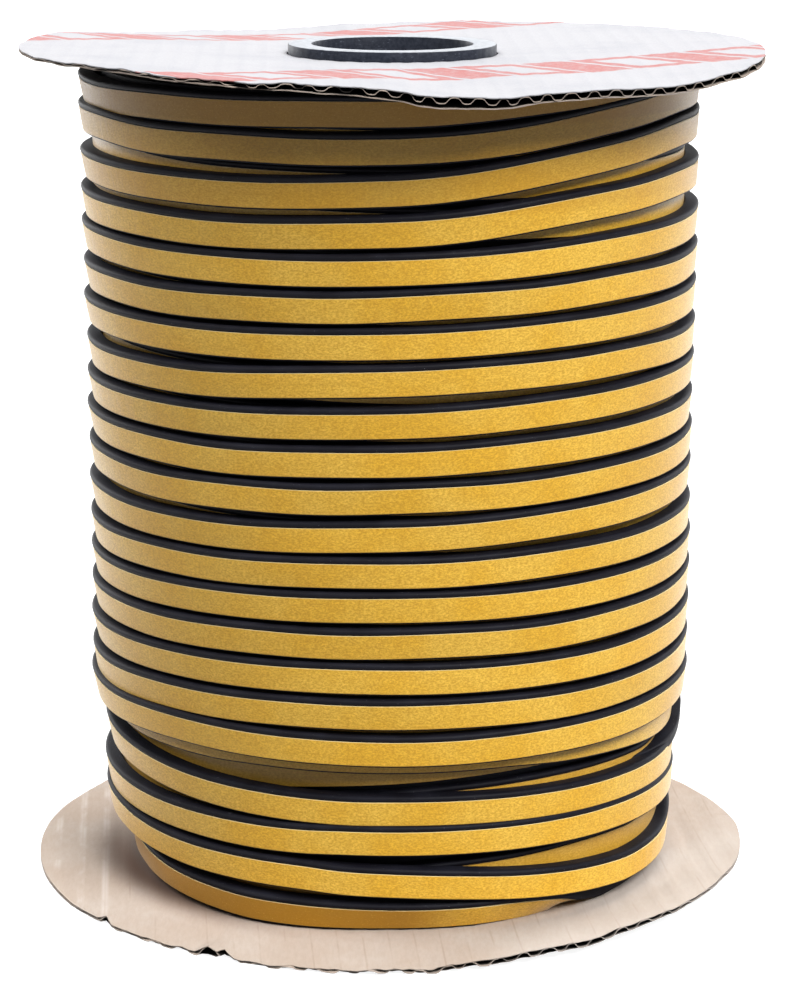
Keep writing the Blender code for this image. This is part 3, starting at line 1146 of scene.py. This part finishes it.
@dataclass
class SecondLayer:
    """The layer under the outermost one: it climbs clockwise from the base and shows as the lowest rows.

    Its keys are (turn, height, radius, lean in degrees).
    """

    bulge: float = 2.3 * MM
    steps: int = 120
    keys: tuple = (
        (-0.24, 3.8, 79.0, 90), (-0.18, 3.8, 79.3, 90), (-0.14, 3.8, 79.9, 90), (-0.118, 4.3, 81.2, 76),
        (-0.097, 6.0, 84.8, 46), (-0.068, 6.8, 85.4, 30), (-0.047, 7.3, 86.6, 28), (0.0, 7.45, 86.4, 26),
        (0.022, 7.65, 87.2, 22), (0.048, 7.9, 88.4, 16), (0.076, 8.1, 88.9, 13), (0.106, 8.6, 88.0, 12),
        (0.141, 9.1, 86.2, 11), (0.165, 9.4, 84.6, 10), (0.196, 9.6, 82.8, 9), (0.245, 9.7, 82.0, 8),
        (0.50, 13.0, 85.5, 4), (0.68, 16.2, 87.6, 4), (0.74, 15.8, 88.2, 4), (0.77, 14.0, 88.5, 4),
        (0.79, 12.3, 88.8, 4), (0.81, 11.8, 89.1, 4), (0.848, 12.0, 89.6, 4), (0.867, 12.7, 89.8, 4),
        (0.90, 14.2, 90.0, 4), (0.933, 16.0, 90.1, 4), (0.965, 17.8, 90.0, 4), (1.0, 19.0, 89.9, 4),
        (1.024, 19.4, 89.9, 4), (1.05, 20.2, 89.8, 4), (1.078, 20.3, 89.8, 5), (1.113, 20.4, 89.7, 8),
        (1.144, 20.9, 89.6, 10), (1.172, 21.6, 89.5, 10), (1.19, 22.2, 89.5, 10), (1.5, 24.8, 89.5, 4),
        (1.81, 29.2, 89.7, 4), (1.875, 30.4, 89.6, 4), (2.0, 31.9, 89.6, 4), (2.022, 31.85, 89.6, 4),
        (2.048, 31.3, 89.6, 4), (2.078, 31.0, 89.5, 5), (2.105, 31.0, 89.5, 8), (2.141, 31.0, 89.5, 10),
        (2.19, 31.2, 89.5, 10), (2.5, 34.4, 89.5, 4), (2.81, 38.2, 89.5, 4), (2.875, 39.3, 89.5, 4),
        (3.0, 41.05, 89.5, 4), (3.022, 40.9, 89.5, 4), (3.048, 41.05, 89.5, 4), (3.075, 41.35, 89.5, 5),
        (3.11, 42.0, 89.5, 8), (3.19, 44.4, 89.5, 10), (3.5, 50.0, 89.3, 4), (3.80, 52.3, 89.2, 4),
        (3.868, 54.9, 89.2, 4), (3.904, 56.0, 89.2, 4), (3.942, 57.2, 89.2, 4), (4.0, 57.1, 89.1, 4),
        (4.07, 57.0, 89.1, 4), (4.10, 56.5, 89.1, 4), (4.16, 56.2, 89.1, 4), (4.22, 58.2, 89.1, 4),
        (4.5, 61.8, 89.0, 4), (17.8, 211.2, 89.0, 4), (18.7, 223.6, 89.0, 4), (19.09, 225.6, 89.0, 4),
        (19.21, 229.0, 89.0, 4), (19.8, 235.0, 89.0, 4), (20.6, 244.0, 89.0, 4),
    )

    def run(self) -> Run:
        """Thread the strip through its keys, and let the upper rows bulge to the left."""
        turns, height, radius, lean = threaded(self.keys, self.steps)
        height, radius = height * MM, radius * MM
        radius = radius + 0.12 * MM * ripple(turns * math.tau / 21, 21, (5, 90))
        radius = radius + self.bulge * facing_left(turns) * ease((height - 190 * MM) / (30 * MM))
        lean = np.radians(lean + 1.0 * ripple(turns * math.tau / 21, 22, (5, 120)))
        return Run(turns, radius, height, lean)


@dataclass
class ThirdLayer:
    """The layer under that: it falls clockwise, and shows only in the gaps near the base.

    Its keys are (turn, height, radius).
    """

    steps: int = 110
    keys: tuple = (
        (-2.0, 77.4, 85.2), (-1.0, 66.5, 85.2), (-0.19, 57.5, 85.2), (-0.10, 54.9, 85.4),
        (-0.05, 54.0, 85.4), (-0.005, 52.6, 85.4), (0.033, 51.2, 85.4), (0.063, 49.7, 85.4),
        (0.09, 48.4, 85.4), (0.12, 47.6, 85.4), (0.19, 46.6, 85.4), (0.50, 44.5, 85.2), (0.77, 41.6, 85.3),
        (0.812, 41.5, 85.4), (0.846, 42.4, 85.4), (0.871, 42.9, 85.4), (0.909, 43.2, 85.4),
        (0.954, 42.8, 85.4), (1.0, 41.4, 85.4), (1.06, 39.4, 85.4), (1.12, 37.4, 85.4), (1.19, 36.4, 85.4),
        (1.50, 34.2, 85.2), (1.81, 31.6, 85.3), (1.90, 31.9, 85.4), (2.0, 31.0, 85.4), (2.10, 28.5, 85.4),
        (2.19, 26.5, 85.3), (2.50, 24.0, 85.2), (2.837, 19.4, 85.3), (2.857, 20.1, 85.4), (2.89, 20.5, 85.4),
        (2.917, 20.1, 85.4), (2.968, 19.1, 85.4), (3.0, 17.6, 85.3), (3.03, 15.9, 85.2), (3.055, 15.0, 85.1),
        (3.08, 15.2, 84.8), (3.12, 16.0, 83.6), (3.16, 15.6, 82.4), (3.50, 12.5, 81.5), (4.0, 8.8, 81.0),
        (4.2, 8.8, 81.0),
    )

    def run(self) -> Run:
        """Thread the strip through its keys."""
        turns, height, radius = threaded(self.keys, self.steps)
        lean = np.radians(4.0 + 1.0 * ripple(turns * math.tau / 7, 32, (5, 60)))
        return Run(turns, height=height * MM, radius=radius * MM, lean=lean)


@dataclass
class Turned:
    """A ring turned about the axis from a closed outline of (radius, height) in millimetres."""

    name: str
    outline: tuple
    steps: int = 160
    chatter: float = 0.0

    def build(self) -> bpy.types.Object:
        """Turn the outline: a corner (r, z) stands at (r sin a, -r cos a, z), with a slight ripple on r."""
        outline = np.array(self.outline) * MM
        angle = -np.linspace(0, math.tau, self.steps, endpoint=False)[:, None]
        reach = outline[None, :, 0] + self.chatter * MM * ripple(angle, 41, (3, 60))
        height = np.broadcast_to(outline[None, :, 1], reach.shape)
        points = np.stack([reach * np.sin(angle), -reach * np.cos(angle), height], axis=-1)
        corners = len(outline)
        quads = grid_faces(self.steps + 1, corners, wrap=True) % (self.steps * corners)
        return new_piece(self.name, points.reshape(-1, 3), [quads])


@dataclass
class Tube:
    """The thick plastic tube that the reel is built on."""

    outer: float = 31.8
    bore: float = 24.5
    foot: float = 0.3
    top: float = 257.5
    soft: float = 0.35
    end_length: float = 7.5

    def build(self, material: bpy.types.Material) -> None:
        """Turn the tube with softened edges and dress it.

        Args:
            material: Its plastic.
        """
        outer, bore, foot, top, soft = self.outer, self.bore, self.foot, self.top, self.soft
        outline = (
            (outer - soft, foot),
            (outer - soft * 0.3, foot + soft * 0.3),
            (outer, foot + soft),
            (outer, top - self.end_length),
            (outer, top - 3.5),
            (outer, top - soft),
            (outer - soft * 0.3, top - soft * 0.3),
            (outer - soft, top - 0.01),
            (bore + soft, top),
            (bore + soft * 0.3, top - soft * 0.3),
            (bore, top - soft),
            (bore, top - self.end_length),
            (bore, foot + soft),
            (bore + soft * 0.3, foot + soft * 0.3),
            (bore + soft, foot),
        )
        piece = Turned("tube", outline, 192, 0.035).build()
        dress(piece, material, ("core_tube",))


# Studio


@dataclass
class Studio:
    """Lit floor, white backdrop, soft light and the camera at the photograph's view.

    A sun is (name, degrees from the front towards +X, degrees up, degrees wide, power), and a lamp is (name,
    place, target, size, power).
    """

    camera_place: tuple = (0.0, -0.978, 0.340)
    pitch: float = math.radians(12.97)
    roll: float = math.radians(0.16)
    pan: float = 1.86 / 3190
    lens: float = 114.84
    floor_half: float = 14.0
    dome_reach: float = 21.0
    room: float = 0.10
    suns: tuple = (
        ("key", 42.0, 46.0, 30.0, 5.3),
        ("fill", -85.0, 55.0, 45.0, 3.35),
        ("back", 155.0, 58.0, 30.0, 2.9),
    )
    lamps: tuple = (
        ("right_edge", (1.0, 1.3, 0.45), (0.0, 0.0, 0.12), 0.9, 5.0),
        ("left_edge", (-1.0, 1.3, 0.45), (0.0, 0.0, 0.12), 0.9, 8.0),
    )

    def floor(self) -> None:
        """Lay a wide flat lit floor at height 0, one square between four corners."""
        side = np.array([-self.floor_half, self.floor_half])
        x, y = np.meshgrid(side, side)
        points = np.stack([x, y, np.zeros_like(x)], axis=-1).reshape(-1, 3)
        piece = new_piece("floor", points, [grid_faces(2, 2, wrap=False)])
        piece.data.materials.append(LitPaper("pale_floor", 0.3, 0.9).made())
        piece.visible_diffuse = False

    def backdrop(self) -> None:
        """Hang a white dome round the floor.

        At turn a and height angle e it stands at R (cos e sin a, -cos e cos a, sin e).
        """
        rows, columns = 14, 48
        turn = np.linspace(0, math.tau, columns, endpoint=False)[None, :]
        rise = np.linspace(-0.02, math.pi / 2, rows)[:, None]
        flat = self.dome_reach * np.cos(rise)
        up = np.broadcast_to(self.dome_reach * np.sin(rise), (rows, columns))
        points = np.stack([flat * np.sin(turn), -flat * np.cos(turn), up], axis=-1)
        piece = new_piece("backdrop", points.reshape(-1, 3), [grid_faces(rows, columns, wrap=True)])
        piece.data.materials.append(LitPaper("white_backdrop", 0.0, 1.0).made())
        piece.visible_diffuse = False
        piece.visible_shadow = False

    def light(self) -> None:
        """Hang soft suns right, left and behind, and a lamp behind each edge, in a dim even room."""
        world = bpy.data.worlds.new("white_room")
        world.use_nodes = True
        world.node_tree.nodes["Background"].inputs["Color"].default_value = (1.0, 1.0, 1.0, 1.0)
        world.node_tree.nodes["Background"].inputs["Strength"].default_value = self.room
        bpy.context.scene.world = world
        for name, turn, height, width, power in self.suns:
            data = bpy.data.lights.new(name, "SUN")
            data.energy = power
            data.angle = math.radians(width)
            turn, height = math.radians(turn), math.radians(height)
            flat = math.cos(height)
            self.hang(name, data, Vector((flat * math.sin(turn), -flat * math.cos(turn), math.sin(height))))
        for name, place, target, size, power in self.lamps:
            data = bpy.data.lights.new(name, "AREA")
            data.shape = "DISK"
            data.size = size
            data.energy = power
            lamp = self.hang(name, data, Vector(place) - Vector(target))
            lamp.location = place
            lamp.visible_camera = False

    def hang(self, name: str, data: bpy.types.Light, back: Vector) -> bpy.types.Object:
        """Add a light whose beam runs against the direction back."""
        lamp = bpy.data.objects.new(name, data)
        bpy.context.scene.collection.objects.link(lamp)
        lamp.rotation_euler = back.to_track_quat("Z", "Y").to_euler()
        return lamp

    def camera(self) -> None:
        """Set the camera: level yaw by the pan, then the pitch down, then the roll about the view."""
        data = bpy.data.cameras.new("view")
        data.sensor_width = 36.0
        data.lens = self.lens
        data.clip_start = 0.05
        data.clip_end = 60.0
        camera = bpy.data.objects.new("view", data)
        bpy.context.scene.collection.objects.link(camera)
        yaw = Matrix.Rotation(-self.pan, 4, "Z")
        tilt = Euler((math.pi / 2 - self.pitch, 0.0, 0.0)).to_matrix().to_4x4()
        spin = Matrix.Rotation(self.roll, 4, "Z")
        camera.matrix_world = Matrix.Translation(self.camera_place) @ yaw @ tilt @ spin
        bpy.context.scene.camera = camera
        bpy.context.scene.view_settings.view_transform = "Standard"


def main() -> None:
    """Build every piece in order, dress it and report it."""
    liner, rubber, tube = LinerPaper().made(), FoamRubber().made(), TubePlastic().made()
    base_kraft = KraftFacing("base_kraft", light_and_shade_painted=True).made()
    white = WhiteFacing()
    cover_kraft = KraftFacing(
        "cover_kraft", pitch=white.pitch, flute_angle=white.flute_angle, line_share=0.2, rim=white.rim
    ).made()

    base = Board(
        name="base_board",
        radius=112.5 * MM,
        underside=0.0,
        thickness=3.4 * MM,
        pitch=7.6 * MM,
        flute_angle=math.radians(4.5),
        rim_rise=(
            (-180, 0.0), (-120, 0.0), (-92, -0.3), (-78, -1.3), (-65, -2.0), (-45, -2.1), (-20, -2.1),
            (-8, -2.0), (2, -1.8), (10, -0.7), (15, 0.1), (20, 0.9), (27, 1.2), (32, 1.4), (37, 2.5),
            (42, 2.9), (47, 3.0), (55, 3.0), (61, 3.3), (66, 3.2), (71, 2.8), (80, 3.0), (88, 2.8),
            (110, 1.2), (140, 0.2),
        ),
        rim_thickness=(
            (-180, 2.8), (-110, 2.2), (-80, 1.35), (-60, 1.25), (-20, 1.3), (-5, 1.4), (10, 1.9), (20, 2.3),
            (35, 2.2), (46, 1.9), (58, 1.5), (80, 1.4), (120, 2.6),
        ),
        facing=0.20 * MM,
        medium=0.16 * MM,
        tuck=(
            (-180, 0.0), (-100, 0.0), (-80, 1.0), (-30, 1.8), (0, 1.8), (20, 1.2), (60, 1.2), (85, 0.6),
            (110, 0.0),
        ),
        warp_from=95.0 * MM,
        flare=((-180, 0.0), (-88, 0.0), (-75, 0.75), (-40, 0.75), (-5, 0.75), (8, 0.0), (90, 0.0)),
        tatter=((-180, 0.0), (-60, 0.1), (-40, 0.3), (-28, 0.9), (-15, 0.5), (20, 0.6), (50, 0.4), (90, 0.1)),
        notches=((-49.5, 1.4, 2.6), (-33.0, 2.4, 1.2), (-25.4, 1.5, 4.0)),
        lifts=((-50.2, 1.6, 6.0, 1.0), (-28.2, 2.6, 10.0, 2.4)),
        seed=3,
    )
    base.build("bottom_flange", base_kraft, base_kraft, Slot.KRAFT)

    cover = Board(
        name="cover_board",
        radius=113.5 * MM,
        underside=251.5 * MM,
        thickness=3.0 * MM,
        pitch=white.pitch,
        flute_angle=white.flute_angle,
        rim_rise=(
            (-180, 0.6), (-172, -0.1), (-165, -0.9), (-158, -1.2), (-150, -1.0), (-140, -0.4), (-129, 0.6),
            (-122, 1.5), (-114, 2.5), (-105, 2.9), (-90, 2.8), (-80, 2.8), (-64, 2.8), (-43, 2.8), (-31, 1.5),
            (-17, 1.5), (-8, 0.9), (1, -0.1), (4, -1.2), (9, -2.0), (15, -2.5), (21, -1.9), (27, -1.5),
            (38, -1.5), (47, -1.6), (57, -0.6), (70, 0.7), (85, 1.8), (98, 2.6), (111, 2.7), (126, 2.4),
            (137, 2.2), (147, 1.9), (156, 1.7), (165, 1.6), (173, 1.2),
        ),
        rim_thickness=(
            (-180, 2.5), (-100, 1.3), (-60, 1.15), (-30, 1.4), (-12, 1.9), (4, 2.3), (20, 2.5), (60, 2.4),
            (110, 2.5),
        ),
        warp_from=34.0 * MM,
        facing=0.27 * MM,
        medium=0.20 * MM,
        peel=((-180, 0.0), (-30, 0.0), (-14, 0.4), (-2, 0.6), (8, 1.1), (15, 0.7), (24, 0.0), (90, 0.0)),
        tatter=((-180, 0.1), (-95, 0.3), (-60, 1.2), (-20, 1.2), (-5, 0.8), (8, 0.5), (20, 0.2), (90, 0.1)),
        tuck=((-180, 0.0), (-110, 0.4), (-90, 0.9), (-72, 0.9), (-58, 0.3), (-30, 0.0), (60, 0.0), (90, 0.4)),
        seed=13,
    )
    cover.build("top_flange", white.made(), cover_kraft, Slot.WHITE)

    section = StripSection()
    outer, second, third = OuterLayer().run(cover), SecondLayer().run(), ThirdLayer().run()
    dress(outer.sweep("outer_layer_rubber", section.rubber()), rubber, ("seal_strip",))
    dress(outer.sweep("outer_layer_liner", section.liner()), liner, ("release_liner",))
    dress(second.sweep("second_layer_rubber", section.rubber()), rubber)
    dress(second.sweep("second_layer_liner", section.liner()), liner)
    dress(third.sweep("third_layer_rubber", section.rubber()), rubber)
    # The third layer's liner is a darker, browner copy of the liner paper as painted shade, its cut edge
    # browned as painted shade too.
    deep = LinerPaper(
        name="deep_liner_painted_shade",
        gold=(0.62, 0.345, 0.035),
        pale=(0.68, 0.41, 0.070),
        brown=(0.38, 0.18, 0.010),
        cut_edge=(0.40, 0.22, 0.04),
    ).made()
    dress(third.sweep("third_layer_liner", section.liner()), deep)
    core_outline = (
        (81.0, 3.8), (84.6, 80.0), (84.6, 225.0), (88.6, 236.0), (88.6, 251.0), (32.2, 251.0), (32.2, 3.8),
    )
    dress(Turned("hidden_core", core_outline).build(), rubber)
    Tube().build(tube)

    studio = Studio()
    studio.floor()
    studio.backdrop()
    studio.light()
    studio.camera()

    bpy.context.view_layer.update()


if __name__ == "__main__":
    main()
